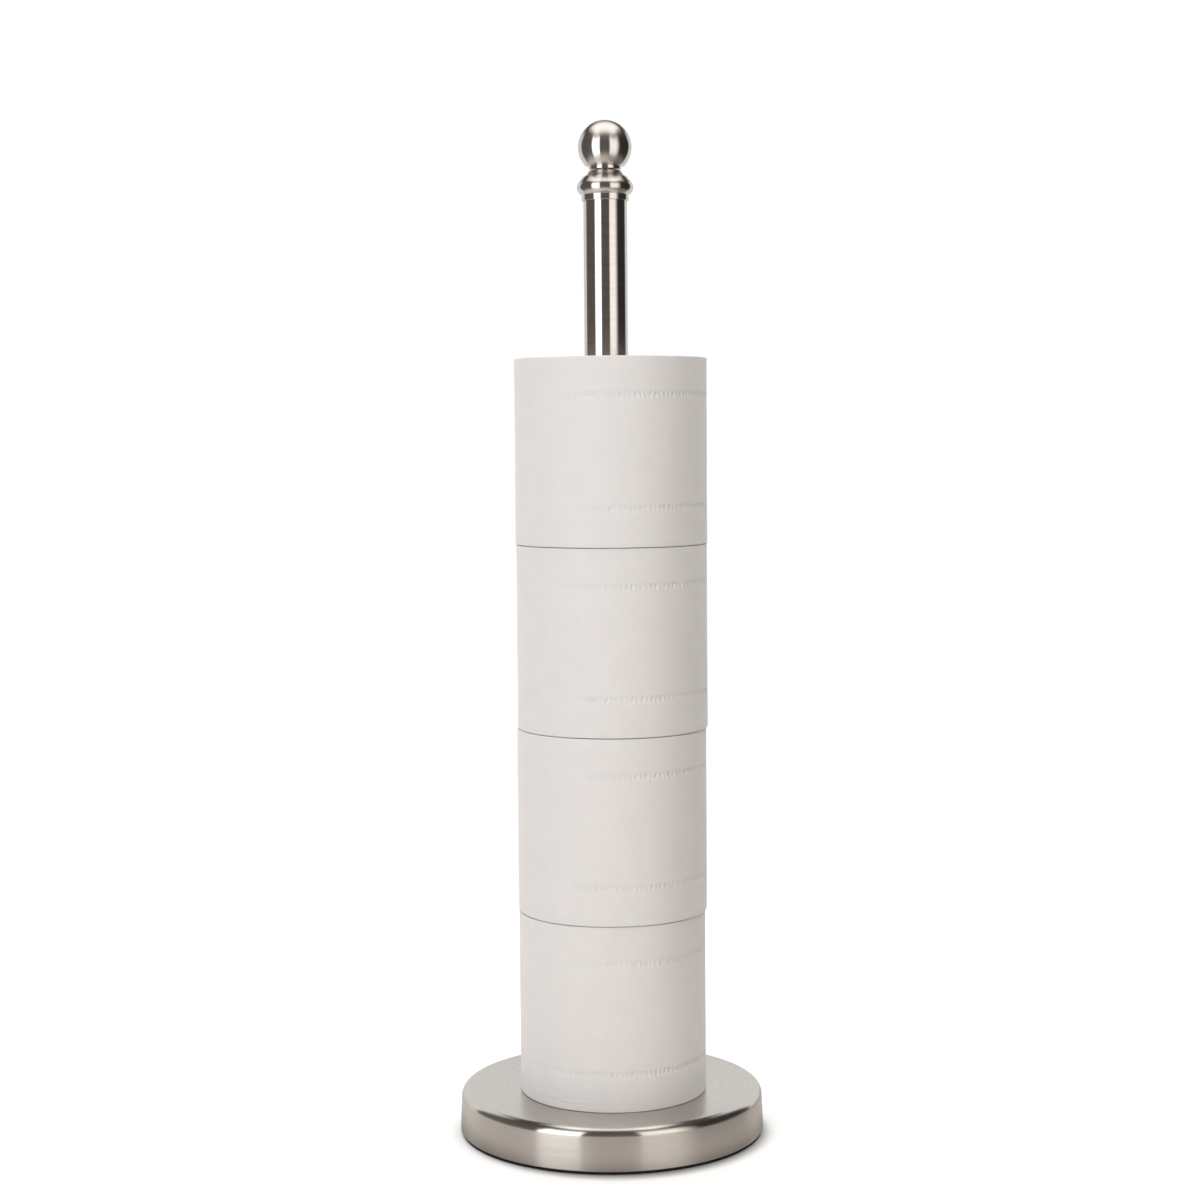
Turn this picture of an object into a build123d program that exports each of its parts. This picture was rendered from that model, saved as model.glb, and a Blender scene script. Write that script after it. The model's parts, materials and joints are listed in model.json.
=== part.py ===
from build123d import *
import math
import os

# Free-standing reserve stand for four toilet rolls, in millimetres, +Z up.
# The origin is on the floor, under the middle of the round base.

# ---- base -------------------------------------------------------------
pad_h = 1.5                  # rubber pad, floor to the steel
pad_r = 84.2
pad_chamfer = 0.3
base_foot_r = 85.0           # cover's wall where it meets the pad
base_wall_r = 84.3           # cover's wall where the rounded edge begins
base_top = 24.7              # height of the flat top
base_edge_r = 5.0            # rounded top edge
sheet_t = 0.8                # thickness of the drawn steel sheet
plate_t = 1.2                # closing plate under the weight
plate_gap = 0.4              # gap all round between plate and cover
weight_gap = 0.5             # gap all round between weight and cover
weight_disc_t = 15.0         # solid disc of the cast weight
weight_rim_t = 7.0           # wall of the ring under the disc
boss_r = 6.5                 # screw bosses under the disc
boss_pcd = 116.0
boss_angle = 45.0            # first boss, from +X
screw_count = 4
screw_d = 4.0
screw_len = 9.0
screw_head_d = 7.2
screw_head_h = 1.0
screw_slot_w = 1.1
screw_slot_depth = 0.5
screw_tip = 0.8              # tapered end
screw_hole_spare = 0.7       # hole left below the screw's end

# ---- bolt that holds the pole --------------------------------------------
bolt_d = 8.0
bolt_hole_d = 8.6
bolt_head_af = 13.0          # across the flats
bolt_head_h = 5.3
bolt_head_chamfer = 0.6
bolt_tip = 52.0              # height of the bolt's end, inside the pole
bolt_tip_chamfer = 0.9
flat_washer_d = 20.0
flat_washer_t = 1.6
spring_washer_d = 14.0
spring_washer_t = 2.0
spring_washer_gap = 1.2
spring_washer_gap_angle = 25.0
weight_recess_d = 24.0       # pocket in the weight for the bolt's head
weight_recess_up = 4.0       # how far the pocket goes into the disc
nut_af = 13.0
nut_h = 5.0

# ---- pole ---------------------------------------------------------------
tube_d = 24.0
tube_wall = 1.0
tube_chamfer = 0.2
tube_join = 278.0            # where the two tubes meet, inside the stack of rolls
tube_top = 522.6
foot_plug_h = 14.0
foot_plug_gap = 2.0          # between the nut and the plug
join_plug_h = 16.0
top_plug_h = 16.0
plug_chamfer = 0.4
stud_d = 8.0
stud_reach = 12.0            # how far the joining stud stands into each plug
stud_chamfer = 0.8
small_stud_d = 6.0
small_stud_reach = 13.0      # how far the finial's stud stands into the plug and the ball
small_stud_chamfer = 0.7
small_stud_gap = 0.1         # radial clearance in the collar

# ---- finial -------------------------------------------------------------
finial_top = 560.6
ball_r = 14.7
ball_foot_r = 8.9            # short round foot under the ball
ball_foot_h = 2.0
ball_hole_depth = 15.0
finial_chamfer = 0.3         # sharp edges of the ball's foot and the collar's neck
neck_groove = 0.4            # shadow gap between ball and collar
groove_depth = 2.0
collar_top = 533.4
collar_neck_r = 9.2
collar_ridge_r = 12.3        # faint edge where the cove ends and the bulge's shoulder starts
collar_ridge_z = 529.7
cove_hollow = 0.15           # how far the cove curves in from a straight cone
collar_skirt_r = 12.9
collar_skirt_end = 516.8
collar_skirt_h = 3.2         # straight part of the skirt
collar_skirt_chamfer = 0.2
collar_bulge_r = 15.5
collar_bulge_z = 524.1
collar_bulge_arc_r = 4.3     # radius of the bulge's own curve
bulge_from_deg = 37.5        # where that curve starts and ends, up from its widest place
bulge_to_deg = -62.0
tube_fit = 0.05              # radial clearance of the skirt on the tube

# ---- rolls --------------------------------------------------------------
roll_count = 4
roll_h = 101.4
roll_gap = 0.2               # between one roll and the next
roll_edge_r = 1.2
roll_radius = [52.3, 52.8, 53.0, 53.2]              # bottom to top
roll_shift = [(1.1, -5.0), (1.5, -4.9), (2.2, -4.6), (2.2, -4.7)]   # how they hang on the pole
core_bore_r = 21.5
core_wall = 0.9
core_gap = 0.3               # between the paper and its core
core_inset = 0.6             # the core ends this far inside the paper

tube_r = tube_d / 2
tube_bore_r = tube_r - tube_wall
weight_r = base_wall_r - sheet_t - weight_gap
weight_top = base_top - sheet_t
plate_top = pad_h + plate_t
roll_pitch = roll_h + roll_gap


def hexagon_circle_r(across_flats):
    """Radius of the circle through a hexagon's corners."""
    return across_flats / math.sqrt(3)


os.makedirs("parts", exist_ok=True)


def save(piece, name):
    piece.label = name
    export_step(piece, f"parts/{name}.step")


# ---- base ---------------------------------------------------------------

# Pad: one round sheet of rubber, glued under the plate.
with BuildPart() as anti_slip_pad:
    with BuildSketch():
        Circle(pad_r)
    extrude(amount=pad_h)
    chamfer(anti_slip_pad.faces().sort_by(Axis.Z)[0].edges(), pad_chamfer)
save(anti_slip_pad.part, "anti_slip_pad")

# Cover: a drawn cup, open below, with a slightly flared wall.
with BuildPart() as base_cover:
    with BuildSketch(Plane.XZ) as cup:
        with BuildLine():
            side = Line((base_foot_r, pad_h), (base_wall_r, base_top - base_edge_r))
            edge = RadiusArc(side @ 1, (base_wall_r - base_edge_r, base_top), -base_edge_r)
            top = Line(edge @ 1, (0, base_top))
            under = Line(top @ 1, (0, base_top - sheet_t))
            inner_top = Line(under @ 1, (base_wall_r - base_edge_r, base_top - sheet_t))
            inner_edge = RadiusArc(
                inner_top @ 1,
                (base_wall_r - sheet_t, base_top - base_edge_r),
                base_edge_r - sheet_t,
            )
            inner_side = Line(inner_edge @ 1, (base_foot_r - sheet_t, pad_h))
            Line(inner_side @ 1, side @ 0)
        make_face()
    revolve(axis=Axis.Z)
    with Locations((0, 0, base_top)):
        Hole(bolt_hole_d / 2, depth=sheet_t)
save(base_cover.part, "base_cover")

# Weight: a cast disc with a ring, a middle boss and screw bosses below it.
recess_top = weight_top - weight_disc_t + weight_recess_up
with BuildPart() as base_weight:
    with BuildSketch(Plane.XY.offset(weight_top - weight_disc_t)):
        Circle(weight_r)
    extrude(amount=weight_disc_t)
    fillet(base_weight.faces().sort_by(Axis.Z)[-1].edges(), base_edge_r - sheet_t)
    with BuildSketch(Plane.XY.offset(plate_top)):
        Circle(weight_r)
        Circle(weight_r - weight_rim_t, mode=Mode.SUBTRACT)
        Circle(weight_recess_d / 2 + weight_rim_t)
        with PolarLocations(boss_pcd / 2, screw_count, start_angle=boss_angle):
            Circle(boss_r)
    extrude(amount=weight_top - weight_disc_t - plate_top)
    with BuildSketch(Plane.XY.offset(plate_top)):
        Circle(weight_recess_d / 2)
    extrude(amount=recess_top - plate_top, mode=Mode.SUBTRACT)
    with BuildSketch(Plane.XY.offset(recess_top)):
        Circle(bolt_hole_d / 2)
    extrude(amount=weight_top - recess_top, mode=Mode.SUBTRACT)
    with BuildSketch(Plane.XY.offset(plate_top)):
        with PolarLocations(boss_pcd / 2, screw_count, start_angle=boss_angle):
            Circle(screw_d / 2)
    extrude(amount=screw_len, mode=Mode.SUBTRACT)
save(base_weight.part, "base_weight")

# Plate: closes the base from below, countersunk for its screws.
plate_r = base_foot_r - sheet_t - plate_gap
screw_cone = 2 * math.degrees(math.atan((screw_head_d - screw_d) / 2 / screw_head_h))
with BuildPart() as base_plate:
    with BuildSketch(Plane.XY.offset(pad_h)):
        Circle(plate_r)
    extrude(amount=plate_t)
    with Locations(Location((0, 0, pad_h), (180, 0, 0))):
        with PolarLocations(boss_pcd / 2, screw_count, start_angle=boss_angle):
            CounterSinkHole(
                screw_d / 2, screw_head_d / 2, depth=plate_t, counter_sink_angle=screw_cone
            )
save(base_plate.part, "base_plate")

# Screws: slotted and countersunk, their heads level with the plate.
screw_end = plate_top + screw_len - screw_hole_spare
with BuildPart() as plate_screws:
    with BuildSketch(Plane.XZ) as screw_half:
        with BuildLine():
            Polyline(
                (0, pad_h),
                (screw_head_d / 2, pad_h),
                (screw_d / 2, pad_h + screw_head_h),
                (screw_d / 2, screw_end - screw_tip),
                (screw_d / 2 - screw_tip, screw_end),
                (0, screw_end),
                close=True,
            )
        make_face()
    revolve(axis=Axis.Z)
    with BuildSketch(Plane.XY.offset(pad_h)):
        Rectangle(screw_head_d, screw_slot_w)
    extrude(amount=screw_slot_depth, mode=Mode.SUBTRACT)
one_screw = plate_screws.part
screw_places = PolarLocations(boss_pcd / 2, screw_count, start_angle=boss_angle)
save(Compound(children=[one_screw.moved(place) for place in screw_places]), "plate_screws")

# ---- bolt, washers and nut --------------------------------------------------

flat_washer_z = recess_top - flat_washer_t
spring_washer_z = flat_washer_z - spring_washer_t
bolt_head_z = spring_washer_z - bolt_head_h

with BuildPart() as pole_bolt:
    with BuildSketch(Plane.XY.offset(bolt_head_z)):
        RegularPolygon(hexagon_circle_r(bolt_head_af), 6)
    extrude(amount=bolt_head_h)
    chamfer(pole_bolt.faces().sort_by(Axis.Z)[0].edges(), bolt_head_chamfer)
    with BuildSketch(Plane.XY.offset(spring_washer_z)):
        Circle(bolt_d / 2)
    extrude(amount=bolt_tip - spring_washer_z)
    chamfer(pole_bolt.faces().sort_by(Axis.Z)[-1].edges(), bolt_tip_chamfer)
save(pole_bolt.part, "pole_bolt")

with BuildPart() as flat_washer:
    with BuildSketch(Plane.XY.offset(flat_washer_z)):
        Circle(flat_washer_d / 2)
        Circle(bolt_hole_d / 2, mode=Mode.SUBTRACT)
    extrude(amount=flat_washer_t)
save(flat_washer.part, "flat_washer")

# The spring washer is a split ring.
with BuildPart() as spring_washer:
    with BuildSketch(Plane.XY.offset(spring_washer_z)):
        Circle(spring_washer_d / 2)
        Circle(bolt_hole_d / 2, mode=Mode.SUBTRACT)
        with Locations(Location((spring_washer_d / 2, 0), spring_washer_gap_angle)):
            Rectangle(spring_washer_d, spring_washer_gap, mode=Mode.SUBTRACT)
    extrude(amount=spring_washer_t)
save(spring_washer.part, "spring_washer")

with BuildPart() as pole_nut:
    with BuildSketch(Plane.XY.offset(base_top)):
        RegularPolygon(hexagon_circle_r(nut_af), 6)
        Circle(bolt_d / 2, mode=Mode.SUBTRACT)
    extrude(amount=nut_h)
save(pole_nut.part, "pole_nut")

# ---- pole -------------------------------------------------------------------


def plug(bottom, height, hole_d, hole_depth):
    """Round plug pressed into a tube, with a tapped hole from its top face."""
    with BuildPart() as body:
        with BuildSketch(Plane.XY.offset(bottom)):
            Circle(tube_bore_r)
        extrude(amount=height)
        with Locations((0, 0, bottom + height)):
            Hole(hole_d / 2, depth=hole_depth)
        chamfer(body.edges().filter_by(GeomType.CIRCLE).group_by(Axis.Z)[-1], plug_chamfer)
    return body.part


def pole_tube(bottom, top):
    """Length of the pole's tube, with its sharp edges broken."""
    with BuildPart() as body:
        with BuildSketch(Plane.XY.offset(bottom)):
            Circle(tube_r)
            Circle(tube_bore_r, mode=Mode.SUBTRACT)
        extrude(amount=top - bottom)
        chamfer(body.edges().filter_by(GeomType.CIRCLE), tube_chamfer)
    return body.part


save(pole_tube(base_top, tube_join), "lower_tube")
save(pole_tube(tube_join, tube_top), "upper_tube")

foot_plug_z = base_top + nut_h + foot_plug_gap
save(plug(foot_plug_z, foot_plug_h, bolt_d, foot_plug_h), "tube_foot_plug")
save(plug(tube_join - join_plug_h, join_plug_h, stud_d, join_plug_h), "lower_join_plug")
save(plug(tube_join, join_plug_h, stud_d, join_plug_h), "upper_join_plug")
save(plug(tube_top - top_plug_h, top_plug_h, small_stud_d, top_plug_h), "tube_top_plug")

with BuildPart() as join_stud:
    with BuildSketch(Plane.XY.offset(tube_join - stud_reach)):
        Circle(stud_d / 2)
    extrude(amount=2 * stud_reach)
    chamfer(join_stud.edges().filter_by(GeomType.CIRCLE), stud_chamfer)
save(join_stud.part, "join_stud")

# ---- finial -----------------------------------------------------------------

# Collar: a bell that caps the tube, with a cove, a sloping shoulder, a round bulge and a thin skirt.
collar_seat = tube_top
spigot_top = collar_top + neck_groove


def on_bulge(degrees):
    """Point on the bulge's curve, counted up from its widest place."""
    turn = math.radians(degrees)
    return (
        collar_bulge_r - collar_bulge_arc_r + collar_bulge_arc_r * math.cos(turn),
        collar_bulge_z + collar_bulge_arc_r * math.sin(turn),
    )


bulge_start = on_bulge(bulge_from_deg)
bulge_end = on_bulge(bulge_to_deg)
cove_middle = (
    (collar_neck_r + collar_ridge_r) / 2 - cove_hollow,
    (collar_top - finial_chamfer + collar_ridge_z) / 2,
)
groove_r = collar_neck_r - groove_depth
with BuildPart() as finial_collar:
    with BuildSketch(Plane.XZ):
        with BuildLine():
            neck = Line((0, spigot_top), (groove_r, spigot_top))
            step = Line(neck @ 1, (groove_r, collar_top))
            lip = Line(step @ 1, (collar_neck_r - finial_chamfer, collar_top))
            lip_edge = Line(lip @ 1, (collar_neck_r, collar_top - finial_chamfer))
            cove = ThreePointArc(lip_edge @ 1, cove_middle, (collar_ridge_r, collar_ridge_z))
            flare = Line(cove @ 1, bulge_start)
            bulge = ThreePointArc(flare @ 1, (collar_bulge_r, collar_bulge_z), bulge_end)
            undercut = Line(bulge @ 1, (collar_skirt_r, collar_skirt_end + collar_skirt_h))
            skirt = Line(undercut @ 1, (collar_skirt_r, collar_skirt_end + collar_skirt_chamfer))
            skirt_lip = Line(skirt @ 1, (collar_skirt_r - collar_skirt_chamfer, collar_skirt_end))
            skirt_end = Line(skirt_lip @ 1, (tube_r + tube_fit, collar_skirt_end))
            bore = Line(skirt_end @ 1, (tube_r + tube_fit, collar_seat))
            seat = Line(bore @ 1, (0, collar_seat))
            Line(seat @ 1, neck @ 0)
        make_face()
    revolve(axis=Axis.Z)
    with BuildSketch(Plane.XY.offset(collar_seat)):
        Circle(small_stud_d / 2 + small_stud_gap)
    extrude(amount=spigot_top - collar_seat, mode=Mode.SUBTRACT)
save(finial_collar.part, "finial_collar")

# Ball: turned with a short round foot, tapped from below.
ball_z = finial_top - ball_r
ball_foot_top = spigot_top + ball_foot_h
with BuildPart() as finial_ball:
    with BuildSketch(Plane.XZ):
        with BuildLine():
            foot = Line((0, spigot_top), (ball_foot_r - finial_chamfer, spigot_top))
            foot_edge = Line(foot @ 1, (ball_foot_r, spigot_top + finial_chamfer))
            foot_side = Line(foot_edge @ 1, (ball_foot_r, ball_foot_top))
            drop = ball_z - ball_foot_top
            shoulder = Line(foot_side @ 1, (math.sqrt(ball_r**2 - drop**2), ball_foot_top))
            ball = ThreePointArc(shoulder @ 1, (ball_r, ball_z), (0, finial_top))
            Line(ball @ 1, foot @ 0)
        make_face()
    revolve(axis=Axis.Z)
    with BuildSketch(Plane.XY.offset(spigot_top)):
        Circle(small_stud_d / 2)
    extrude(amount=ball_hole_depth, mode=Mode.SUBTRACT)
save(finial_ball.part, "finial_ball")

with BuildPart() as finial_stud:
    with BuildSketch(Plane.XY.offset(tube_top - small_stud_reach)):
        Circle(small_stud_d / 2)
    extrude(amount=spigot_top - tube_top + 2 * small_stud_reach)
    chamfer(finial_stud.edges().filter_by(GeomType.CIRCLE), small_stud_chamfer)
save(finial_stud.part, "finial_stud")

# ---- rolls --------------------------------------------------------------


def ring(x, y, bottom, height, outer, inner):
    """Upright ring, from its bottom height, with its outer edges still sharp."""
    with BuildPart() as body:
        with BuildSketch(Plane.XY.offset(bottom)):
            with Locations((x, y)):
                Circle(outer)
                Circle(inner, mode=Mode.SUBTRACT)
        extrude(amount=height)
    return body


for number in range(roll_count):
    shift_x, shift_y = roll_shift[number]
    roll_z = base_top + number * roll_pitch
    core_r = core_bore_r + core_wall
    core = ring(
        shift_x, shift_y, roll_z + core_inset, roll_h - 2 * core_inset, core_r, core_bore_r
    )
    save(core.part, f"cardboard_core_{number + 1}")
    paper = ring(shift_x, shift_y, roll_z, roll_h, roll_radius[number], core_r + core_gap)
    with paper:
        outer_edges = paper.edges().filter_by(GeomType.CIRCLE).sort_by(SortBy.RADIUS)[-2:]
        fillet(outer_edges, roll_edge_r)
    save(paper.part, f"paper_roll_{number + 1}")
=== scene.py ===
import json
import math
import random

import bmesh
import bpy
from mathutils import Matrix, Vector, noise
from mathutils.geometry import interpolate_bezier


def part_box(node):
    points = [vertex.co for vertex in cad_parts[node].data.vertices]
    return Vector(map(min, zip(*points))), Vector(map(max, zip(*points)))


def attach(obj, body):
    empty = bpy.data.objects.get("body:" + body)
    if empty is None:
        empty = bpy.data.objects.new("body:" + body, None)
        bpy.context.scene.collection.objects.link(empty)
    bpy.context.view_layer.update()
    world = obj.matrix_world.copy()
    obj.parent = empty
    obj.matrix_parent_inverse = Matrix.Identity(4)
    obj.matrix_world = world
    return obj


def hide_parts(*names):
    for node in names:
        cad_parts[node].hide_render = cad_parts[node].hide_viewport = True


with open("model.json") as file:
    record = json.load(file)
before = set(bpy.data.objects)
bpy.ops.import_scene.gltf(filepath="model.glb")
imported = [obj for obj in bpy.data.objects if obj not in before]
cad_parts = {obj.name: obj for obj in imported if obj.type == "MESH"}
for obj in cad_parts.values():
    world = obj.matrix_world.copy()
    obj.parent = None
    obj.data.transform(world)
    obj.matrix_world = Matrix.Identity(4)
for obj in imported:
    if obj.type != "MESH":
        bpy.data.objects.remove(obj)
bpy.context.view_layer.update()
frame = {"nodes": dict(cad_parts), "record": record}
print("frame loaded:", len(frame["nodes"]), "nodes")

mm = 0.001
fullTurn = 2 * math.pi
rollNumbers = range(1, 5)


# shader maths

class Sock:
    # wraps one output, so that an expression on it adds Math nodes
    def __init__(self, graph, socket):
        self.graph = graph
        self.socket = socket

    def maths(self, operation, *others):
        values = dict(enumerate((self,) + others))
        return self.graph.add("ShaderNodeMath", {"operation": operation}, values)

    def out(self, name):
        return Sock(self.graph, self.socket.node.outputs[name])

    def __add__(self, other):
        return self.maths("ADD", other)

    def __sub__(self, other):
        return self.maths("SUBTRACT", other)

    def __rsub__(self, other):
        return self.graph.add("ShaderNodeMath", {"operation": "SUBTRACT"}, {0: other, 1: self})

    def __mul__(self, other):
        return self.maths("MULTIPLY", other)

    def __neg__(self):
        return self.maths("MULTIPLY", -1.0)

    __radd__ = __add__
    __rmul__ = __mul__


class Graph:
    def __init__(self, tree):
        self.tree = tree
        tree.nodes.clear()

    def add(self, kind, settings=None, inputs=None, output=0):
        node = self.tree.nodes.new(kind)
        for name, value in (settings or {}).items():
            setattr(node, name, value)
        for key, value in (inputs or {}).items():
            if isinstance(value, Sock):
                self.tree.links.new(value.socket, node.inputs[key])
            else:
                node.inputs[key].default_value = value
        return Sock(self, node.outputs[output]) if node.outputs else node

    def objectPlace(self):
        place = self.add("ShaderNodeTexCoord", output="Object")
        split = self.add("ShaderNodeSeparateXYZ", inputs={0: place})
        return split.out("X"), split.out("Y"), split.out("Z")

    def attribute(self, name):
        return self.add("ShaderNodeAttribute", {"attribute_name": name}, output="Fac")

    def vector(self, x, y, z):
        return self.add("ShaderNodeCombineXYZ", inputs={0: x, 1: y, 2: z})

    def noise(self, vector, w=None, scale=1.0, detail=2.0, rough=0.5):
        inputs = {"Vector": vector, "Scale": scale, "Detail": detail, "Roughness": rough}
        if w is None:
            return self.add("ShaderNodeTexNoise", {}, inputs)
        inputs["W"] = w
        return self.add("ShaderNodeTexNoise", {"noise_dimensions": "4D"}, inputs)

    def between(self, value, low, high, toLow=0.0, toHigh=1.0):
        # smooth step from toLow to toHigh
        inputs = {"Value": value, "From Min": low, "From Max": high, "To Min": toLow, "To Max": toHigh}
        return self.add("ShaderNodeMapRange", {"interpolation_type": "SMOOTHSTEP"}, inputs)

    def mix(self, factor, first, second):
        settings = {"data_type": "RGBA", "blend_type": "MIX", "clamp_factor": True}
        return self.add("ShaderNodeMix", settings, {0: factor, 6: first, 7: second}, output=2)

    def bump(self, height, strength, distance):
        return self.add("ShaderNodeBump", {}, {"Height": height, "Strength": strength, "Distance": distance})

    def axisDistance(self, x, y):
        return (x * x + y * y).maths("SQRT")

    def surface(self, inputs):
        shader = self.add("ShaderNodeBsdfPrincipled", {}, inputs)
        self.add("ShaderNodeOutputMaterial", {}, {"Surface": shader})


def newMaterial(name):
    material = bpy.data.materials.new(name)
    material.use_nodes = True
    return material, Graph(material.node_tree)


def rgb(red, green, blue):
    return (red, green, blue, 1.0)


# finishes

nickelLook = {
    "pale": rgb(0.700, 0.672, 0.640),
    "deep": rgb(0.630, 0.600, 0.570),
    "coarseLine": 900.0,      # brush lines per metre
    "fineLine": 4200.0,
    "lineStretch": 45.0,      # sideways wander of the lines, per metre
    "fineShare": 0.55,
    "markScale": 28.0,        # handling marks
    "markShare": 0.35,
    "lineDepth": 0.03 * mm,
    "lineBump": 0.05,
    "rough": (0.145, 0.185),
    "finialRough": (0.165, 0.205),
    "smear": 1.0,             # how much wider the shine is across the lines
    "smearTurn": 0.25,
    "edgeTint": rgb(0.86, 0.85, 0.84),
}


def brushedNickel(name, rough):
    look = nickelLook
    material, g = newMaterial(name)
    x, y, z = g.objectPlace()
    reach = g.axisDistance(x, y)
    # turned finish: lines run round the axis, so they change fast with radius and height only

    def lines(perMetre, stretch):
        place = g.vector(x * stretch, y * stretch, reach * perMetre)
        return g.noise(place, w=z * perMetre, detail=2.0, rough=0.6)

    coarse = lines(look["coarseLine"], look["lineStretch"])
    fine = lines(look["fineLine"], look["lineStretch"] * 2)
    brush = coarse * (1 - look["fineShare"]) + fine * look["fineShare"]
    marks = g.noise(g.vector(x, y, z), scale=look["markScale"], detail=3.0) * look["markShare"]
    g.surface({
        "Base Color": g.mix(g.between(brush, 0.3, 0.7), look["deep"], look["pale"]),
        "Metallic": 1.0,
        "Roughness": g.between(brush + marks, 0.45, 0.85, *look[rough]),
        "Anisotropic": look["smear"],
        "Anisotropic Rotation": look["smearTurn"],
        "Specular Tint": look["edgeTint"],
        "Normal": g.bump(brush, look["lineBump"], look["lineDepth"]),
    })
    return material


tissueLook = {
    "sheet": rgb(0.908, 0.895, 0.888),
    "fibre": rgb(0.880, 0.866, 0.858),
    "end": rgb(0.800, 0.788, 0.780),
    "endDark": rgb(0.640, 0.620, 0.600),
    # painted shade: the colour the crimped dashes darken to
    "crimpAndPaintedShade": rgb(0.800, 0.785, 0.770),
    "crepePerMetre": 2600.0,      # ridges round the wall
    "crepeRun": 0.22,             # how slowly they change up the wall
    "crepeShare": 0.6,
    "fibreScale": 900.0,
    "mottleScale": 95.0,
    "layersPerMetre": 2400.0,     # sheet edges seen on the ends
    "layerHeight": 2.2,
    "creasesPerMetre": 330.0,     # creases left by winding
    "creaseHeight": 2.0,
    "creaseScale": 22.0,          # patches where creases show
    "rough": (0.86, 0.97),
    "bump": 0.35,
    "depth": 0.12 * mm,
}


def tissuePaper():
    look = tissueLook
    material, g = newMaterial("tissuePaper")
    x, y, z = g.objectPlace()
    rim = g.attribute("rim")
    reach = g.attribute("reach")
    crimpAndPaintedShade = g.attribute("crimpAndPaintedShade")
    # wall: soft crepe ridges run up the roll, over loose fibres
    fineness, share = look["crepePerMetre"], look["crepeShare"]
    crepe = g.noise(g.vector(x * fineness, y * fineness, z * fineness * look["crepeRun"]))
    fibres = g.noise(g.vector(x, y, z), scale=look["fibreScale"], detail=3.0, rough=0.65)
    mottle = g.noise(g.vector(x, y, z), scale=look["mottleScale"])
    # ends: the edges of the wound sheet
    wound = g.noise(g.vector(x * 60.0, y * 60.0, reach * look["layersPerMetre"]), detail=3.0, rough=0.7)
    wall = g.mix(g.between(fibres * share + mottle * (1 - share), 0.35, 0.65), look["fibre"], look["sheet"])
    ends = g.mix(g.between(wound, 0.32, 0.62), look["endDark"], look["end"])
    # painted shade: the paper's colour darkens in the crimped dashes
    colour = g.mix(crimpAndPaintedShade, g.mix(rim, wall, ends), look["crimpAndPaintedShade"])
    wallHeight = crepe * share + fibres * (1 - share)
    # creases left by winding run round the roll, only where the attribute lets them
    ripple = g.noise(g.vector(x * 16.0, y * 16.0, z * look["creasesPerMetre"]))
    ripple = g.between((ripple - 0.5).maths("ABSOLUTE"), 0.0, 0.05)
    patches = g.noise(g.vector(x, y, z * 3.0), scale=look["creaseScale"])
    ripple = 1 - (1 - ripple) * g.between(patches, 0.42, 0.60)
    wallHeight = wallHeight + ripple * g.attribute("crease") * look["creaseHeight"]
    height = wallHeight * (1 - rim) + (wound * look["layerHeight"] + fibres * (1 - share)) * rim
    g.surface({
        "Base Color": colour,
        "Roughness": g.between(fibres, 0.2, 0.8, *look["rough"]),
        "Specular IOR Level": 0.25,
        "Sheen Weight": 0.12,
        "Sheen Roughness": 0.6,
        "Normal": g.bump(height, look["bump"], look["depth"]),
    })
    return material


boardLook = {
    "face": rgb(0.470, 0.385, 0.290),
    "fleck": rgb(0.330, 0.265, 0.200),
    "chip": rgb(0.600, 0.520, 0.420),
    "seam": rgb(0.250, 0.200, 0.150),
    "seamShare": 0.7,
    "fibreScale": 420.0,
    "chipsPerMetre": (900.0, 2600.0),     # round the tube and along it
    "rough": (0.82, 0.95),
    "bump": 0.4,
    "depth": 0.15 * mm,
}


def coreBoard():
    look = boardLook
    material, g = newMaterial("coreBoard")
    x, y, z = g.objectPlace()
    seam = g.attribute("seam")
    fibres = g.noise(g.vector(x, y, z), scale=look["fibreScale"], detail=4.0, rough=0.7)
    across, along = look["chipsPerMetre"]
    chips = g.noise(g.vector(x * across, y * across, z * along), detail=1.0)
    face = g.mix(g.between(fibres, 0.35, 0.7), look["face"], look["fleck"])
    face = g.mix(g.between(chips, 0.66, 0.74) * 0.5, face, look["chip"])
    g.surface({
        "Base Color": g.mix(seam * look["seamShare"], face, look["seam"]),
        "Roughness": g.between(fibres, 0.3, 0.7, *look["rough"]),
        "Specular IOR Level": 0.3,
        "Normal": g.bump(fibres, look["bump"], look["depth"]),
    })
    return material


rubberLook = {
    "black": rgb(0.012, 0.012, 0.013),
    "dusty": rgb(0.040, 0.039, 0.038),
    "dustScale": 60.0,
    "grainScale": 1300.0,
    "rough": (0.70, 0.88),
    "bump": 0.3,
    "depth": 0.1 * mm,
}


def blackRubber():
    look = rubberLook
    material, g = newMaterial("blackRubber")
    x, y, z = g.objectPlace()
    grain = g.noise(g.vector(x, y, z), scale=look["grainScale"])
    dust = g.noise(g.vector(x, y, z), scale=look["dustScale"], detail=4.0, rough=0.7)
    g.surface({
        "Base Color": g.mix(g.between(dust, 0.5, 0.8), look["black"], look["dusty"]),
        "Roughness": g.between(grain, 0.3, 0.7, *look["rough"]),
        "Specular IOR Level": 0.25,
        "Normal": g.bump(grain, look["bump"], look["depth"]),
    })
    return material


ironLook = {
    "grey": rgb(0.060, 0.060, 0.063),
    "rusty": rgb(0.105, 0.082, 0.066),
    "stainScale": 45.0,
    "sandScale": 620.0,
    "rough": (0.60, 0.80),
    "bump": 0.5,
    "depth": 0.3 * mm,
}


def castIron():
    look = ironLook
    material, g = newMaterial("castIron")
    x, y, z = g.objectPlace()
    sand = g.noise(g.vector(x, y, z), scale=look["sandScale"], detail=4.0, rough=0.7)
    stain = g.noise(g.vector(x, y, z), scale=look["stainScale"], detail=3.0)
    g.surface({
        "Base Color": g.mix(g.between(stain, 0.4, 0.7), look["grey"], look["rusty"]),
        "Metallic": 0.7,
        "Roughness": g.between(sand, 0.3, 0.7, *look["rough"]),
        "Normal": g.bump(sand, look["bump"], look["depth"]),
    })
    return material


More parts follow.
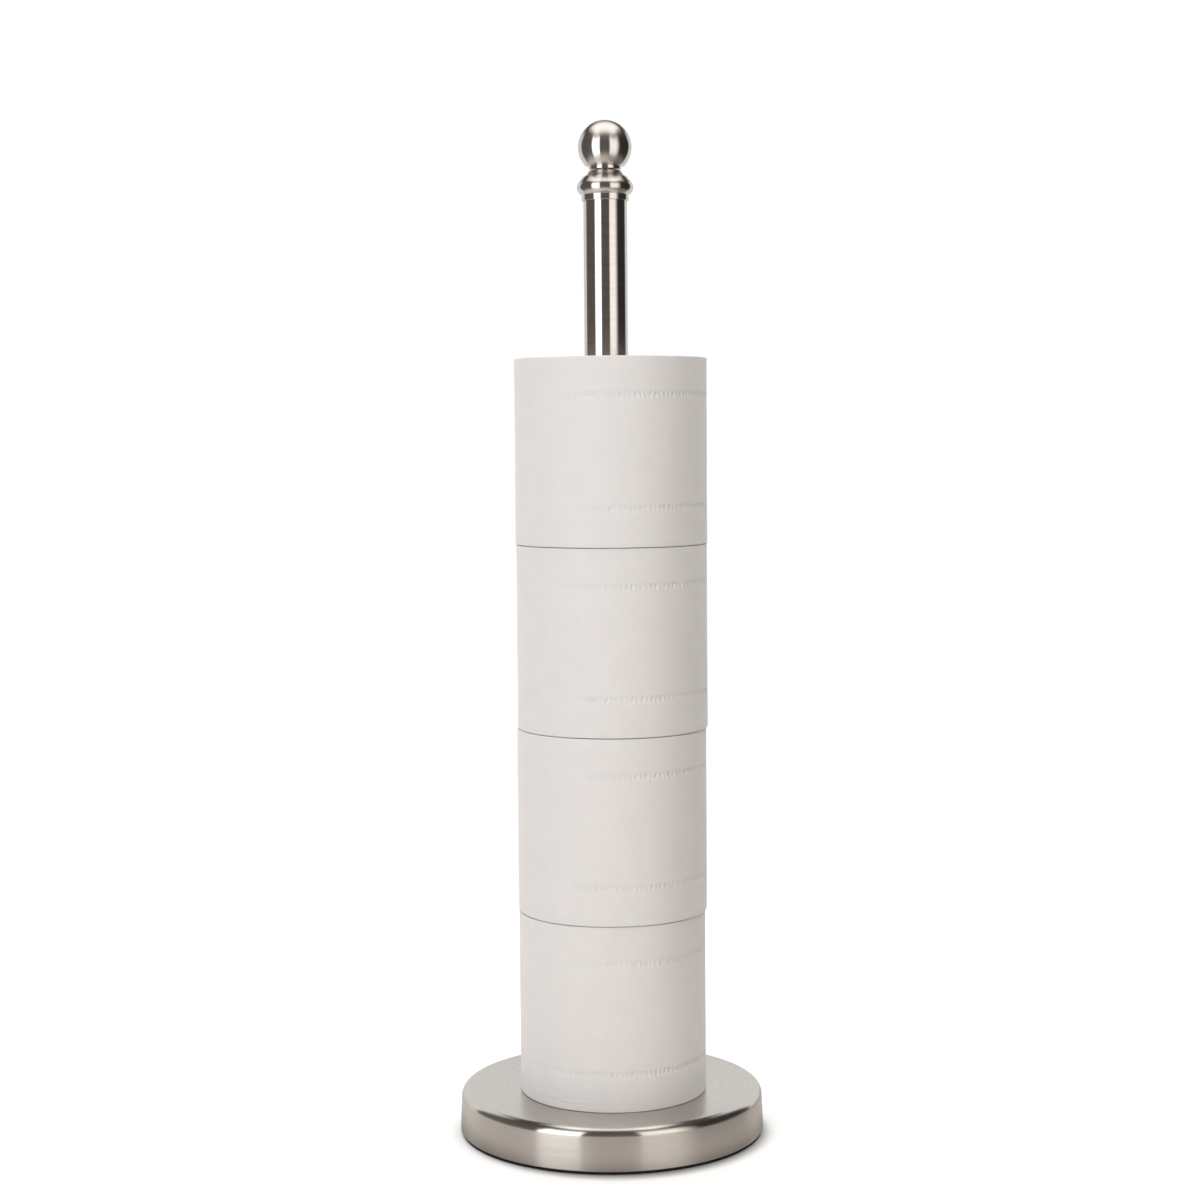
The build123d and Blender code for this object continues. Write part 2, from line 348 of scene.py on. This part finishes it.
zincLook = {
    "blue": rgb(0.600, 0.610, 0.630),
    "yellow": rgb(0.680, 0.660, 0.590),
    "filmScale": 110.0,
    "spangleScale": 700.0,
    "rough": (0.28, 0.42),
    "bump": 0.1,
    "depth": 0.05 * mm,
}


def zincSteel():
    look = zincLook
    material, g = newMaterial("zincSteel")
    x, y, z = g.objectPlace()
    place = {"Vector": g.vector(x, y, z), "Scale": look["spangleScale"]}
    spangle = g.add("ShaderNodeTexVoronoi", {}, place, "Color")
    tone = g.add("ShaderNodeSeparateColor", {}, {0: spangle})
    film = g.noise(g.vector(x, y, z), scale=look["filmScale"], detail=3.0)
    g.surface({
        "Base Color": g.mix(g.between(film, 0.35, 0.7), look["blue"], look["yellow"]),
        "Metallic": 1.0,
        "Roughness": g.between(tone, 0.0, 1.0, *look["rough"]),
        "Normal": g.bump(tone, look["bump"], look["depth"]),
    })
    return material


finishes = {
    "brushed_nickel": brushedNickel("brushedNickel", "rough"),
    "tissue_paper": tissuePaper(),
    "core_board": coreBoard(),
    "black_rubber": blackRubber(),
    "cast_iron": castIron(),
    "zinc_plated_steel": zincSteel(),
}
for entry in frame["record"]["subparts"]:
    nodeObject = frame["nodes"][entry["node"]]
    nodeObject.data.materials.clear()
    nodeObject.data.materials.append(finishes[entry["material_slot"]])
finialNickel = brushedNickel("finialNickel", "finialRough")
print("finishes made:", len(finishes) + 1)


# shapes

def roundedOutline(corners, segments=8):
    # (radius, height, rounding) corners of a closed outline, each turned into an arc
    points = []
    count = len(corners)
    for i, (r, z, rounding) in enumerate(corners):
        here = Vector((r, z))
        back = (Vector(corners[i - 1][:2]) - here).normalized()
        ahead = (Vector(corners[(i + 1) % count][:2]) - here).normalized()
        if rounding <= 0:
            points.append(here)
            continue
        half = back.angle(ahead) / 2
        start = here + back * rounding / math.tan(half)
        end = here + ahead * rounding / math.tan(half)
        centre = here + (back + ahead).normalized() * rounding / math.sin(half)
        sweep = (start - centre).angle_signed(end - centre)
        for step in range(segments + 1):
            points.append(centre + Matrix.Rotation(-sweep * step / segments, 2) @ (start - centre))
    return [(p.x, p.y) for p in points]


def arc(centreR, centreZ, radius, fromDeg, toDeg, segments):
    # points on a circle, angles counted up from the outward direction
    turns = [math.radians(fromDeg + (toDeg - fromDeg) * i / segments) for i in range(segments + 1)]
    return [(centreR + radius * math.cos(t), centreZ + radius * math.sin(t)) for t in turns]


def turned(outline, steps, closed=True):
    # spins an outline of (radius, height) points about the upright axis
    mesh = bmesh.new()
    verts = [mesh.verts.new((max(r, 0.0), 0.0, z)) for r, z in outline]
    pairs = list(zip(verts, verts[1:]))
    if closed:
        pairs.append((verts[-1], verts[0]))
    edges = [mesh.edges.new(pair) for pair in pairs]
    bmesh.ops.spin(mesh, geom=verts + edges, cent=(0, 0, 0), axis=(0, 0, 1), angle=fullTurn,
                   steps=steps, use_merge=True, use_duplicate=False)
    bmesh.ops.remove_doubles(mesh, verts=mesh.verts, dist=1e-7)
    bmesh.ops.recalc_face_normals(mesh, faces=mesh.faces)
    return mesh


def finishPiece(mesh, name, slot, body, replaced, sharpDeg=38.0, finish=None):
    data = bpy.data.meshes.new(name)
    mesh.to_mesh(data)
    mesh.free()
    data.polygons.foreach_set("use_smooth", [True] * len(data.polygons))
    data.set_sharp_from_angle(angle=math.radians(sharpDeg))
    data.materials.append(finish or finishes[slot])
    piece = bpy.data.objects.new(name, data)
    bpy.context.scene.collection.objects.link(piece)
    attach(piece, body)
    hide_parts(replaced)
    return piece


# base

baseLook = {
    "sheet": 0.8 * mm,
    "edge": 5.0 * mm,
    "foot": 0.5 * mm,
    "hem": 0.15 * mm,         # cut edge inside the foot
    "hole": 4.3 * mm,
    "holeRound": 0.2 * mm,
    "draft": 0.7 * mm,        # how far the wall leans in towards the top
    "padRound": 0.15 * mm,
    "steps": 288,
}


def makeBase():
    look = baseLook
    low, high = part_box("base_cover")
    foot, bottom, top, sheet = high.x, low.z, high.z, look["sheet"]
    shoulder = foot - look["draft"] * top / (top - look["edge"])
    mesh = turned(roundedOutline([
        (foot, bottom, look["foot"]),
        (shoulder, top, look["edge"]),
        (look["hole"], top, look["holeRound"]),
        (look["hole"], top - sheet, look["holeRound"] / 2),
        (shoulder - sheet, top - sheet, look["edge"] - sheet),
        (foot - sheet, bottom, look["hem"]),
    ], segments=12), look["steps"])
    finishPiece(mesh, "baseCover", "brushed_nickel", "stand", "base_cover")
    low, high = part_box("anti_slip_pad")
    mesh = turned(roundedOutline([
        (0.0, low.z, 0.0),
        (high.x, low.z, look["padRound"]),
        (high.x, high.z, look["padRound"] / 2),
        (0.0, high.z, 0.0),
    ]), look["steps"], closed=False)
    finishPiece(mesh, "basePad", "black_rubber", "stand", "anti_slip_pad")


makeBase()
print("base made")


# pole and finial

poleLook = {"wall": 1.0 * mm, "edge": 0.25 * mm, "steps": 160}


def makeTube(node, name):
    low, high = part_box(node)
    outer, inner = high.x, high.x - poleLook["wall"]
    mesh = turned(roundedOutline([
        (outer, low.z, poleLook["edge"]),
        (outer, high.z, poleLook["edge"]),
        (inner, high.z, poleLook["edge"]),
        (inner, low.z, poleLook["edge"]),
    ], segments=4), poleLook["steps"])
    finishPiece(mesh, name, "brushed_nickel", "stand", node)


finialLook = {
    "spigot": 4.6 * mm,           # the collar's round rest for the ball
    "grooveDepth": 0.75 * mm,     # dark gap under the ball, its height
    "neck": 9.2 * mm,
    "ridge": 12.3 * mm,           # faint edge between the cove and the shoulder
    "ridgeDrop": 4.1 * mm,        # its place below the collar's top
    "neckPull": (0.40 * mm, -1.35 * mm),        # how the cove leaves the neck
    "ridgePull": (-1.35 * mm, 0.75 * mm),       # and how it meets the ridge
    "coveSteps": 14,
    "bulge": 4.3 * mm,            # radius of the bulge's own curve
    "bulgeDrop": 9.7 * mm,        # from the collar's top to its widest place
    "bulgeDeg": (37.5, -62),
    "bulgeSteps": 22,
    "skirt": 12.9 * mm,
    "skirtHeight": 3.2 * mm,
    "skirtRound": 0.25 * mm,
    "bore": 12.05 * mm,
    "boreHeight": 5.8 * mm,
    "stud": 3.1 * mm,
    "ballFoot": 8.9 * mm,
    "ballFootHeight": 2.0 * mm,
    "footRound": 0.3 * mm,
    "footFlare": (0.2 * mm, 0.25 * mm),         # where the foot runs out under the ball
    "lip": 0.35 * mm,             # rounding of the collar's top edge
    "fine": 0.1 * mm,             # chamfer of the ball's rest
    "ballSteps": 64,
    "steps": 192,
}


def makeCollar():
    look = finialLook
    low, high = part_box("finial_collar")
    spigot, neck, lip, fine, skirt = (look[key] for key in ("spigot", "neck", "lip", "fine", "skirt"))
    face = high.z - look["grooveDepth"]
    # cove: hollow a little less than a straight cone, from the neck to the ridge
    neckZ = face - lip
    ridgeR, ridgeZ = look["ridge"], high.z - look["ridgeDrop"]
    (outR, outZ), (inR, inZ) = look["neckPull"], look["ridgePull"]
    cove = interpolate_bezier((neck, neckZ), (neck + outR, neckZ + outZ),
                              (ridgeR + inR, ridgeZ + inZ), (ridgeR, ridgeZ), look["coveSteps"])
    outline = [(look["stud"], high.z), (spigot - fine, high.z), (spigot, high.z - fine)]
    outline += [(spigot, face), (neck - lip, face)]
    outline += arc(neck - lip, neckZ, lip, 80, 0, 5)
    outline += [(p.x, p.y) for p in cove[1:]]
    outline += arc(high.x - look["bulge"], high.z - look["bulgeDrop"], look["bulge"],
                   *look["bulgeDeg"], look["bulgeSteps"])
    outline += [(skirt, low.z + look["skirtHeight"])]
    outline += arc(skirt - look["skirtRound"], low.z + look["skirtRound"], look["skirtRound"], 0, -90, 5)
    outline += [(look["bore"], low.z), (look["bore"], low.z + look["boreHeight"])]
    outline += [(look["stud"], low.z + look["boreHeight"])]
    finishPiece(turned(outline, look["steps"]), "finialCollar", "brushed_nickel", "stand", "finial_collar",
                finish=finialNickel)


def makeBall():
    look = finialLook
    low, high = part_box("finial_ball")
    radius = high.x
    centre = high.z - radius
    footTop = low.z + look["ballFootHeight"]
    startDeg = math.degrees(math.asin((footTop - centre) / radius))
    foot, soft = look["ballFoot"], look["footRound"]
    outline = [(0.0, low.z)]
    outline += arc(foot - soft, low.z + soft, soft, -90, 0, 5)
    outline += [(foot, footTop - look["footFlare"][1]), (foot + look["footFlare"][0], footTop)]
    outline += arc(0.0, centre, radius, startDeg, 90, look["ballSteps"])
    mesh = turned(outline, look["steps"], closed=False)
    finishPiece(mesh, "finialBall", "brushed_nickel", "stand", "finial_ball", finish=finialNickel)


makeTube("lower_tube", "lowerTube")
makeTube("upper_tube", "upperTube")
makeCollar()
makeBall()
print("pole and finial made")


# rolls

rollLook = {
    "edge": 0.45 * mm,            # soft rounding of the rims
    "edgeSteps": 7,
    "coreGap": 0.15 * mm,         # between the paper and its core
    "boreLip": (0.5 * mm, 0.4 * mm),            # soft corner at the bore, in and down
    "inset": 0.02 * mm,
    "endRings": 30,
    "wallRow": 2.6 * mm,
    "dashesRound": 119,           # crimped dashes in one row
    "columnsPerDash": 4,
    "crimpInset": 20.6 * mm,      # from each rim to the row of dashes
    "crimpHeight": 3.2 * mm,
    "crimpDepth": 0.60 * mm,
    "crimpPaintedShadeShare": 0.35,
    "crimpSeed": 40,
    "dashJitter": 0.25,
    "dashLength": (0.55, 0.35),   # soft ends, in crimp heights
    "dashWidth": (0.30, 0.10),    # soft sides, in dash pitches
    "pressedDeg": 38,             # pressed hardest at minus this, from the x axis
    "pressedLeast": 0.25,
    "pressedRange": (-0.1, 0.7),
    "outer": (0.93, 0.995),       # wall moves, bore does not: shares of the radius
    "creaseDepth": 0.05 * mm,
    "creaseReach": (7 * mm, 1 * mm),            # creases beside the dashes
    "creaseShare": 0.30,
    "footCreases": (34 * mm, 14 * mm),          # more of them low on the bottom roll
    "sheetStep": 0.32 * mm,       # thickness of the loose last sheet
    "unround": 0.30 * mm,
    "swell": (1.3, 14),           # paces of the unevenness, round the roll and up it
    "dent": (4.0, 38),
    "unroundShares": (0.7, 0.3),
    "endWave": 0.35 * mm,
    "endDepth": (0.3 * mm, 0.05 * mm),
    "boreClear": 0.3 * mm,
    "boreSoft": 0.2 * mm,
    "waveCoarse": (0.8, 420),     # and of the ends' waves, round and outwards
    "waveFine": (2.0, 1500),
    "waveShares": (0.65, 0.35),
    "seedStep": 7.3,
    "tailDeg": [68, 117, 49, 138],
}


def wallRows(low, high, look):
    # heights of the wall's rows, closer together where the dashes are
    count = round((high - low) / look["wallRow"])
    heights = [low + (high - low) * i / count for i in range(count + 1)]
    near, steps = look["crimpHeight"], 5
    for centre in (low - look["edge"] + look["crimpInset"], high + look["edge"] - look["crimpInset"]):
        heights = [h for h in heights if abs(h - centre) > near]
        heights += [centre + near * (i - steps) / steps for i in range(2 * steps + 1)]
    return sorted(heights)


def ease(value, low, high):
    share = min(max((value - low) / (high - low), 0.0), 1.0)
    return share * share * (3 - 2 * share)


def rollOutline(look, boreR, radius, bottom, top):
    edge, steps, count = look["edge"], look["edgeSteps"], look["endRings"]
    lipIn, lipDown = look["boreLip"]
    rings = [boreR + lipIn + (radius - edge - boreR - lipIn) * i / count for i in range(count)]
    outline = [(boreR, bottom + lipDown), (boreR, (bottom + top) / 2), (boreR, top - lipDown)]
    outline += [(r, top) for r in rings]
    outline += arc(radius - edge, top - edge, edge, 90, 0, steps)[:-1]
    outline += [(radius, h) for h in reversed(wallRows(bottom + edge, top - edge, look))]
    outline += arc(radius - edge, bottom + edge, edge, 0, -90, steps)[1:]
    outline += [(r, bottom) for r in reversed(rings)]
    return outline


def wobble(around, along, paces, shift):
    return noise.noise(around * paces[0] + Vector((0, 0, along * paces[1])) + shift)


def dashPress(look, dashes, row, turn, aside, swell):
    # how deep the dashes are pressed at this place, from 0 to 1
    count, height = look["dashesRound"], look["crimpHeight"]
    place = turn / (fullTurn / count)
    nearest = round(place)
    offset, slant, depth = dashes[nearest % count + row * count]
    across = abs(place - nearest - look["dashJitter"] * offset - slant * aside / height)
    start, full = look["dashLength"]
    along = ease(abs(aside), height * start, height * full)
    # the wheel presses harder along some stretches than along others
    facing = math.cos(turn + math.radians(look["pressedDeg"])) + 0.5 * swell
    least = look["pressedLeast"]
    pressed = least + (1 - least) * ease(facing, *look["pressedRange"])
    return pressed * depth * along * ease(across, *look["dashWidth"])


def makeRoll(number):
    look = rollLook
    node = f"paper_roll_{number}"
    low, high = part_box(node)
    centre = Vector(((low.x + high.x) / 2, (low.y + high.y) / 2, 0.0))
    radius = (high.x - low.x) / 2 - look["unround"]
    coreLow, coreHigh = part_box(f"cardboard_core_{number}")
    boreR = (coreHigh.x - coreLow.x) / 2 + look["coreGap"]
    bottom, top = low.z + look["inset"], high.z - look["inset"]
    middle = (bottom + top) / 2
    columns = look["dashesRound"] * look["columnsPerDash"]
    mesh = turned(rollOutline(look, boreR, radius, bottom, top), columns)
    dice = random.Random(look["crimpSeed"] + number)
    dashes = [(dice.uniform(-0.3, 0.3), dice.uniform(-0.35, 0.35), dice.uniform(0.55, 1.0))
              for _ in range(2 * look["dashesRound"])]
    rimLayer, reachLayer, crimpShadeLayer, creaseLayer = [
        mesh.verts.layers.float.new(name) for name in ("rim", "reach", "crimpAndPaintedShade", "crease")]
    tail = math.radians(look["tailDeg"][number - 1])
    column = fullTurn / columns
    crimpRows = (bottom + look["crimpInset"], top - look["crimpInset"])
    seed = Vector((look["seedStep"] * number, 0, 0))
    swellShare, dentShare = look["unroundShares"]
    coarseShare, fineShare = look["waveShares"]
    for vert in mesh.verts:
        x, y, z = vert.co
        reach = math.hypot(x, y)
        turn = math.atan2(y, x)
        sinceTail = (turn - tail) % fullTurn
        if sinceTail < 1.5 * column:
            turn -= max(sinceTail - 0.2 * column, 0.0)       # the last sheet's edge is a crisp step
        outer = ease(reach, radius * look["outer"][0], radius * look["outer"][1])
        onEnd = ease(min(z - bottom, top - z), *look["endDepth"])
        onEnd *= ease(boreR + look["boreClear"] - reach, 0.0, -look["boreSoft"])
        around = Vector((math.cos(turn), math.sin(turn), 0))
        swell = wobble(around, z, look["swell"], seed)
        uneven = swellShare * swell + dentShare * wobble(around, z, look["dent"], seed)
        grow = outer * (look["unround"] * uneven - look["sheetStep"] * sinceTail / fullTurn)
        crimpAndPaintedShade = crease = 0.0
        if outer > 0.5:
            for row, height in enumerate(crimpRows):
                aside = z - height
                if abs(aside) > look["crimpHeight"]:
                    continue
                crimpAndPaintedShade = max(crimpAndPaintedShade, dashPress(look, dashes, row, turn, aside, swell))
                grow -= look["creaseDepth"] * ease(abs(aside), look["crimpHeight"] * 0.4, 0.0)
            nearRow = min(abs(z - height) for height in crimpRows)
            crease = look["creaseShare"] * ease(nearRow, *look["creaseReach"])
            if number == 1:
                crease = max(crease, ease(z - bottom, *look["footCreases"]))
        lift = 0.0
        if onEnd > 0:
            coarse = wobble(around, reach, look["waveCoarse"], seed)
            fine = wobble(around, reach, look["waveFine"], -seed)
            lift = look["endWave"] * onEnd * abs(coarseShare * coarse + fineShare * fine)
            if z > middle:
                lift = -lift
        reachNow = reach + grow - look["crimpDepth"] * crimpAndPaintedShade
        vert.co = centre + around * reachNow + Vector((0, 0, z + lift))
        vert[rimLayer] = onEnd
        vert[reachLayer] = reach
        # how much painted shade the dashes get in the paper's colour
        vert[crimpShadeLayer] = crimpAndPaintedShade * look["crimpPaintedShadeShare"]
        vert[creaseLayer] = crease
    finishPiece(mesh, f"paperRoll{number}", "tissue_paper", f"paper_{number}", node, sharpDeg=50)


coreLook = {
    "wall": 0.9 * mm,
    "round": 0.25 * mm,
    "columns": 180,
    "rows": 44,
    "seamPitch": 62 * mm,         # the ply's joint winds up the inside
    "seamWidth": 0.055,
    "seamDepth": 0.14 * mm,
    "seamShift": 0.21,            # from one core to the next, in turns
    "fray": 0.12 * mm,            # unevenness of the cut ends
    "frayScale": 700,
}


def makeCore(number):
    look = coreLook
    node = f"cardboard_core_{number}"
    low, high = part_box(node)
    centre = Vector(((low.x + high.x) / 2, (low.y + high.y) / 2, 0.0))
    middle, length = (low.z + high.z) / 2, high.z - low.z
    outer = (high.x - low.x) / 2
    inner = outer - look["wall"]
    soft = look["round"]
    heights = [low.z + soft + (length - 2 * soft) * i / look["rows"] for i in range(look["rows"] + 1)]
    outline = [(outer, h) for h in heights]
    outline += [(outer - soft, high.z), (inner + soft, high.z)]
    outline += [(inner, h) for h in reversed(heights)]
    outline += [(inner + soft, low.z), (outer - soft, low.z)]
    mesh = turned(outline, look["columns"])
    seamLayer = mesh.verts.layers.float.new("seam")
    for vert in mesh.verts:
        x, y, z = vert.co
        reach, turn = math.hypot(x, y), math.atan2(y, x)
        phase = (turn / fullTurn + number * look["seamShift"] - z / look["seamPitch"]) % 1.0
        seam = 0.0
        if reach < (inner + outer) / 2:
            seam = max(1 - min(phase, 1 - phase) / look["seamWidth"], 0.0)
        fray = 0.0
        if abs(z - middle) > length * 0.49:
            fray = look["fray"] * abs(noise.noise(Vector((x, y, 0)) * look["frayScale"]))
        away = Vector((math.cos(turn), math.sin(turn), 0))
        lift = Vector((0, 0, z - fray if z > middle else z + fray))
        vert.co = centre + away * (reach + look["seamDepth"] * seam) + lift
        vert[seamLayer] = seam
    finishPiece(mesh, f"rollCore{number}", "core_board", f"core_{number}", node)


for rollNumber in rollNumbers:
    makeRoll(rollNumber)
    makeCore(rollNumber)
    print("roll made:", rollNumber)


# studio

studioLook = {
    "backdrop": (0.90, 0.895, 0.885),
    "darkLeft": (0.122, 0.110, 0.102),
    "boxLeft": (2.38, 2.38, 2.38),
    "darkFront": (0.116, 0.096, 0.088),
    "boxRight": (1.45, 1.37, 1.29),
    "darkRight": (0.036, 0.031, 0.028),
    "aboveBoxes": (0.085, 0.072, 0.064),
    "below": (0.47, 0.45, 0.43),
    "belowDeg": (-42, -26),
    # what stands round the object, in degrees from the camera's side: start, end, softness of each
    "bands": [
        ("darkLeft", -122, -57, 4, 4),
        ("boxLeft", -57, -23, 2, 2),
        ("darkFront", -23, 21.5, 2, 2),
        ("boxRight", 22.5, 80, 4, 4),
        ("darkRight", 59, 126, 13, 4),
    ],
    "boxTopDeg": (38, 50),
    # overhead light for matt surfaces: far off, so it is the same all the way down
    "skyHeight": 8.0,
    "skySpan": (-5.2, 5.2, -2.8, 6.0),
    "sky": (3.30, 3.26, 3.22),
    # what polished surfaces see overhead: a near panel with soft edges in a dark ceiling
    "ceilingHeight": 1.15,
    "ceilingSpan": (-0.78, 0.78, -0.78, 1.08),
    "panel": (1.66, 1.61, 1.57),
    "panelSide": (0.33, 0.57),
    "panelFront": (-0.55, -0.18),
    "panelBack": (0.20, 0.62),
    "floorRadius": 0.62,
    "floorColour": 0.93,
    # painted contact shadow: the floor's colour darkens in a ring round the base, down to this share of its
    # white
    "paintedShadowShare": 0.35,
    "paintedShadowRing": (77 * mm, 89 * mm),
    "paintedShadowShift": (2.5 * mm, -7.0 * mm),      # it shows in front and a little to the right
    # the table is seen only by the metal and the paper
    "tableRadius": 0.72,
    "tableDrop": 0.2 * mm,
    # painted shade: the table is a darker copy of the white floor, grey where the camera sees white
    "tableColour": (0.56, 0.518, 0.480),
    "tableRough": 0.52,
    "tableIor": 2.3,
    # painted shade on the table: darker close to the base and toward the right
    "nearPaintedShade": (84 * mm, 118 * mm),
    "nearPaintedShadeDim": 0.42,
    "rightPaintedShade": (0.03, 0.30),
    "rightPaintedShadeDim": 0.20,
    "shellRadius": 20.0,
    "shellColour": (1.02, 1.02, 1.02),
}


def makeWorld():
    look = studioLook
    world = bpy.data.worlds.new("studio")
    bpy.context.scene.world = world
    world.use_nodes = True
    g = Graph(world.node_tree)
    way = g.add("ShaderNodeTexCoord", output="Generated")
    split = g.add("ShaderNodeSeparateXYZ", inputs={0: way})
    x, y, z = split.out("X"), split.out("Y"), split.out("Z")
    degrees = 180 / math.pi
    side = x.maths("ARCTAN2", -y) * degrees        # 0 is the camera's side, plus is right
    height = z.maths("ARCSINE") * degrees
    aboveBoxes = g.between(height, *look["boxTopDeg"])
    colour = rgb(*look["backdrop"])
    for name, start, end, softStart, softEnd in look["bands"]:
        inside = g.between(side, start - softStart, start + softStart)
        inside = inside * g.between(side, end - softEnd, end + softEnd, 1.0, 0.0)
        band = g.mix(aboveBoxes, rgb(*look[name]), rgb(*look["aboveBoxes"]))
        colour = g.mix(inside, colour, band)
    colour = g.mix(g.between(height, *look["belowDeg"], 1.0, 0.0), colour, rgb(*look["below"]))
    shine = g.add("ShaderNodeBackground", {}, {"Color": colour, "Strength": 1.0})
    g.add("ShaderNodeOutputWorld", {}, {"Surface": shine})


def stageMaterial(name, kind, colour):
    material, g = newMaterial(name)
    shader = g.add(kind, {}, {"Color": colour})
    g.add("ShaderNodeOutputMaterial", {}, {"Surface": shader})
    return material


def stageObject(mesh, name, material):
    data = bpy.data.meshes.new(name)
    mesh.to_mesh(data)
    mesh.free()
    data.materials.append(material)
    thing = bpy.data.objects.new(name, data)
    bpy.context.scene.collection.objects.link(thing)
    return thing


def hideFrom(thing, rays):
    for ray in rays:
        setattr(thing, "visible_" + ray, False)


def discMesh(radius, height=0.0):
    mesh = bmesh.new()
    bmesh.ops.create_circle(mesh, cap_ends=True, segments=128, radius=radius)
    bmesh.ops.translate(mesh, verts=mesh.verts, vec=(0, 0, height))
    return mesh


def ceilingMesh(span, height):
    left, right, front, back = span
    mesh = bmesh.new()
    bmesh.ops.create_grid(mesh, x_segments=1, y_segments=1, size=0.5)
    bmesh.ops.scale(mesh, verts=mesh.verts, vec=(right - left, back - front, 1.0))
    bmesh.ops.translate(mesh, verts=mesh.verts, vec=((left + right) / 2, (front + back) / 2, height))
    return mesh


def makeOverhead():
    look = studioLook
    skyWhite = stageMaterial("skyWhite", "ShaderNodeEmission", rgb(*look["sky"]))
    sky = stageObject(ceilingMesh(look["skySpan"], look["skyHeight"]), "studioSky", skyWhite)
    hideFrom(sky, ["camera", "glossy", "transmission", "shadow"])
    material, g = newMaterial("ceilingPanel")
    x, y, z = g.objectPlace()
    lit = g.between(x.maths("ABSOLUTE"), *look["panelSide"], 1.0, 0.0)
    lit = lit * g.between(y, *look["panelFront"]) * g.between(y, *look["panelBack"], 1.0, 0.0)
    colour = g.mix(lit, rgb(*look["aboveBoxes"]), rgb(*look["panel"]))
    shine = g.add("ShaderNodeEmission", {}, {"Color": colour})
    g.add("ShaderNodeOutputMaterial", {}, {"Surface": shine})
    ceiling = stageObject(ceilingMesh(look["ceilingSpan"], look["ceilingHeight"]), "studioCeiling", material)
    hideFrom(ceiling, ["camera", "diffuse", "transmission", "shadow"])


def makeStage():
    look = studioLook
    floorWhite, g = newMaterial("floorWhite")
    x, y, z = g.objectPlace()
    shiftX, shiftY = look["paintedShadowShift"]
    # painted contact shadow: a darker ring of floor colour round the base, a little toward the front and
    # right
    clear = g.between(g.axisDistance(x - shiftX, y - shiftY), *look["paintedShadowRing"])
    pale = look["floorColour"]
    paintedShadowGrey = pale * look["paintedShadowShare"]
    colour = g.mix(clear, rgb(paintedShadowGrey, paintedShadowGrey, paintedShadowGrey), rgb(pale, pale, pale))
    matt = g.add("ShaderNodeBsdfDiffuse", {}, {"Color": colour})
    g.add("ShaderNodeOutputMaterial", {}, {"Surface": matt})
    floor = stageObject(discMesh(look["floorRadius"]), "studioFloor", floorWhite)
    hideFrom(floor, ["diffuse", "glossy", "transmission", "shadow"])
    # what the metal and the paper see of the floor: a greyer, slightly glossy table, a shaded copy of the
    # white floor with painted shade near the base and toward the right
    tableShadedGrey, g = newMaterial("tableShadedGrey")
    x, y, z = g.objectPlace()
    grey = Vector(look["tableColour"])
    # painted shade: the table's grey darkens toward the right and close to the base
    colour = g.mix(g.between(x, *look["rightPaintedShade"]), rgb(*grey), rgb(*(grey * look["rightPaintedShadeDim"])))
    near = g.between(g.axisDistance(x, y), *look["nearPaintedShade"])
    g.surface({
        "Base Color": g.mix(near, rgb(*(grey * look["nearPaintedShadeDim"])), colour),
        "Roughness": look["tableRough"],
        "Specular IOR Level": 1.0,
        "IOR": look["tableIor"],
    })
    table = stageObject(discMesh(look["tableRadius"], -look["tableDrop"]), "studioTable", tableShadedGrey)
    hideFrom(table, ["camera", "transmission", "shadow"])
    # pale surround that only the camera sees, past the floor's edge
    mesh = bmesh.new()
    bmesh.ops.create_uvsphere(mesh, u_segments=48, v_segments=24, radius=look["shellRadius"])
    shellWhite = stageMaterial("shellWhite", "ShaderNodeEmission", rgb(*look["shellColour"]))
    shell = stageObject(mesh, "studioShell", shellWhite)
    hideFrom(shell, ["diffuse", "glossy", "transmission", "volume_scatter", "shadow"])


cameraLook = {
    "distance": 1253.9 * mm,
    "height": 391.2 * mm,
    "aside": -4.5 * mm,
    "pitchDeg": 4.26,
    "rollDeg": 0.44,
    "lens": 68.0,
}


def makeCamera():
    look = cameraLook
    data = bpy.data.cameras.new("camera")
    data.lens = look["lens"]
    data.sensor_width = 36.0
    data.clip_end = 100.0
    camera = bpy.data.objects.new("camera", data)
    bpy.context.scene.collection.objects.link(camera)
    place = Matrix.Translation((look["aside"], -look["distance"], look["height"]))
    tilt = Matrix.Rotation(math.radians(90 - look["pitchDeg"]), 4, "X")
    roll = Matrix.Rotation(math.radians(-look["rollDeg"]), 4, "Z")
    camera.matrix_world = place @ tilt @ roll
    bpy.context.scene.camera = camera


makeWorld()
makeOverhead()
makeStage()
makeCamera()
bpy.context.scene.view_settings.view_transform = "Standard"
print("studio made")
